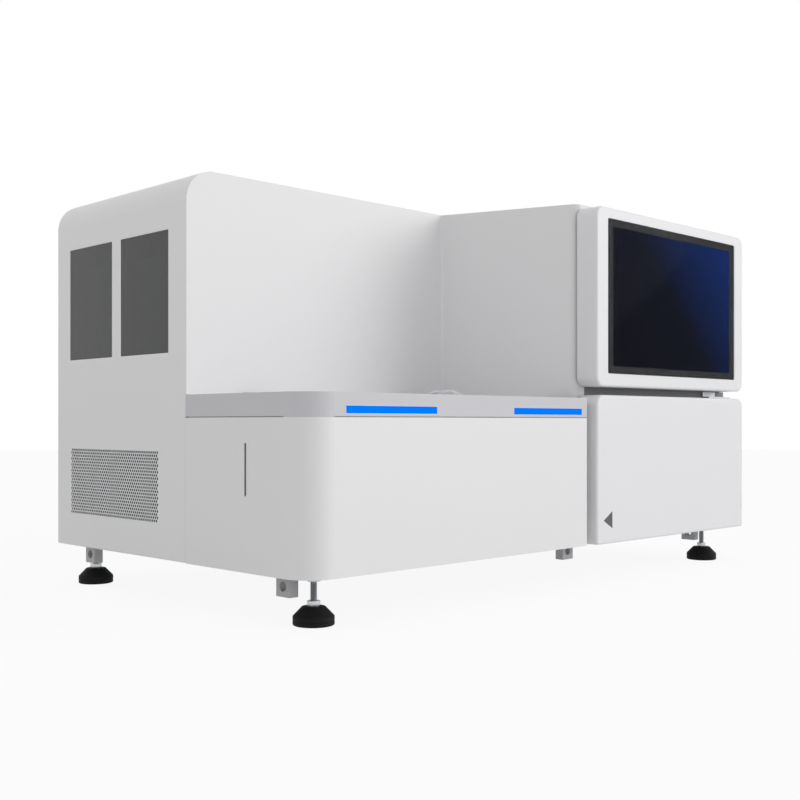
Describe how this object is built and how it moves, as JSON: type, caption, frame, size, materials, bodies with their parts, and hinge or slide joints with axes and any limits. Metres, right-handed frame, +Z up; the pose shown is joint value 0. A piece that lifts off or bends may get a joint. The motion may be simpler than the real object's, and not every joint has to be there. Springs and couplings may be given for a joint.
{
  "type": "benchtop sequencer",
  "caption": "White benchtop DNA sequencer with a low left deck under a hinged lid, a taller right column with touch display and reagent door, side windows and levelling feet.",
  "frame": {"origin": "centre of the footprint, on the bench surface under the levelling feet", "axes": "+X to the user's right along the front, +Y from the front to the back, +Z up"},
  "size_m": [1.184, 0.702, 0.68],
  "materials": {
    "white_paint": "white powder coat, fine texture",
    "dark_paint": "dark grey powder coat",
    "frame_steel": "zinc plated steel",
    "machined_aluminium": "machined and anodised aluminium",
    "grey_moulding": "fine matte grey moulding",
    "light_moulding": "fine matte white moulding",
    "black_moulding": "matte black moulding",
    "smoked_pane": "smoked transparent plastic",
    "front_glass": "black-bordered display glass",
    "screen": "dark display surface",
    "light_guide": "blue diffusing light guide",
    "handle_metal": "polished metal",
    "hinge_steel": "stainless steel",
    "stud_steel": "dark zinc plated steel",
    "foot_black": "black glass-filled nylon",
    "soft_rubber": "soft black rubber",
    "filter_mat": "olive grey filter mat",
    "bottle_plastic": "translucent natural plastic",
    "bay_plastic": "light grey insulated liner"
  },
  "bodies": {
    "cabinet": {"base_rails": "frame_steel", "floor_pan": "frame_steel", "upright_posts": "frame_steel", "top_rails": "frame_steel", "transport_lugs": "frame_steel", "lower_front_cover": "white_paint", "left_rear_cover": "white_paint", "tall_front_panel": "white_paint", "slanted_panel": "white_paint", "top_cover": "white_paint", "column_top_cover": "white_paint", "right_side_cover": "white_paint", "rear_panel": "white_paint", "column_fascia": "dark_paint", "divider_wall": "dark_paint", "slot_insert": "black_moulding", "side_windows": "smoked_pane", "vent_grille": "white_paint", "dust_filter": "filter_mat", "deck_frame": "grey_moulding", "bay_shroud": "dark_paint", "status_lights": "light_guide", "lid_hinge_bases": "hinge_steel", "display_housing": "light_moulding", "display_glass": "front_glass", "display_panel": "screen", "door_hinge_brackets": "hinge_steel", "reagent_bay": "bay_plastic", "sipper_lift": "machined_aluminium", "optics_plate": "machined_aluminium", "isolator_mounts": "soft_rubber", "stage_rails": "hinge_steel", "optics_bridge": "machined_aluminium", "imaging_head": "black_moulding", "service_bottles": "bottle_plastic", "syringe_pumps": "machined_aluminium", "control_electronics": "black_moulding", "exhaust_fan": "black_moulding", "power_inlet": "black_moulding"},
    "deck_lid": {"deck_lid": "light_moulding", "lid_handle": "handle_metal", "lid_hinge_leaves": "hinge_steel"},
    "reagent_door": {"reagent_door": "light_moulding", "door_liner": "bay_plastic", "door_gasket": "soft_rubber"},
    "stage_long": {"y_carriage": "machined_aluminium"},
    "stage_cross": {"x_carriage": "machined_aluminium", "flow_cell_chucks": "machined_aluminium"},
    "focus": {"objective_stage": "machined_aluminium"},
    "sipper": {"sipper_head": "machined_aluminium"},
    "fan_rotor": {"fan_rotor": "black_moulding"},
    "power_switch": {"power_switch": "black_moulding"},
    "foot_front_left": {"foot_pad_front_left": "foot_black", "foot_stud_front_left": "stud_steel"},
    "foot_front_right": {"foot_pad_front_right": "foot_black", "foot_stud_front_right": "stud_steel"},
    "foot_rear_left": {"foot_pad_rear_left": "foot_black", "foot_stud_rear_left": "stud_steel"},
    "foot_rear_right": {"foot_pad_rear_right": "foot_black", "foot_stud_rear_right": "stud_steel"}
  },
  "joints": [
    {"name": "lid_hinge", "type": "hinge", "parent": "cabinet", "child": "deck_lid", "pos_m": [-0.286, -0.0655, 0.3328], "axis": [-1, 0, 0], "range_deg": [0, 80]},
    {"name": "door_hinge", "type": "hinge", "parent": "cabinet", "child": "reagent_door", "pos_m": [0.579, -0.314, 0.203], "axis": [0, 0, 1], "range_deg": [0, 105]},
    {"name": "foot_screw_front_left", "type": "slide", "parent": "cabinet", "child": "foot_front_left", "axis": [0, 0, -1], "range_m": [0, 0.015]},
    {"name": "foot_screw_front_right", "type": "slide", "parent": "cabinet", "child": "foot_front_right", "axis": [0, 0, -1], "range_m": [0, 0.015]},
    {"name": "foot_screw_rear_left", "type": "slide", "parent": "cabinet", "child": "foot_rear_left", "axis": [0, 0, -1], "range_m": [0, 0.015]},
    {"name": "foot_screw_rear_right", "type": "slide", "parent": "cabinet", "child": "foot_rear_right", "axis": [0, 0, -1], "range_m": [0, 0.015]},
    {"name": "stage_long_travel", "type": "slide", "parent": "cabinet", "child": "stage_long", "axis": [0, 1, 0], "range_m": [0, 0.35]},
    {"name": "stage_cross_travel", "type": "slide", "parent": "stage_long", "child": "stage_cross", "axis": [1, 0, 0], "range_m": [-0.04, 0.04]},
    {"name": "focus_travel", "type": "slide", "parent": "cabinet", "child": "focus", "axis": [0, 0, 1], "range_m": [-0.002, 0.002]},
    {"name": "sipper_lift_travel", "type": "slide", "parent": "cabinet", "child": "sipper", "axis": [0, 0, -1], "range_m": [0, 0.15]},
    {"name": "fan_spin", "type": "hinge", "parent": "cabinet", "child": "fan_rotor", "pos_m": [0.288, 0.324, 0.47], "axis": [0, 1, 0], "continuous": true},
    {"name": "power_rocker", "type": "hinge", "parent": "cabinet", "child": "power_switch", "pos_m": [0.478, 0.343, 0.176], "axis": [1, 0, 0], "range_deg": [0, 24]}
  ]
}
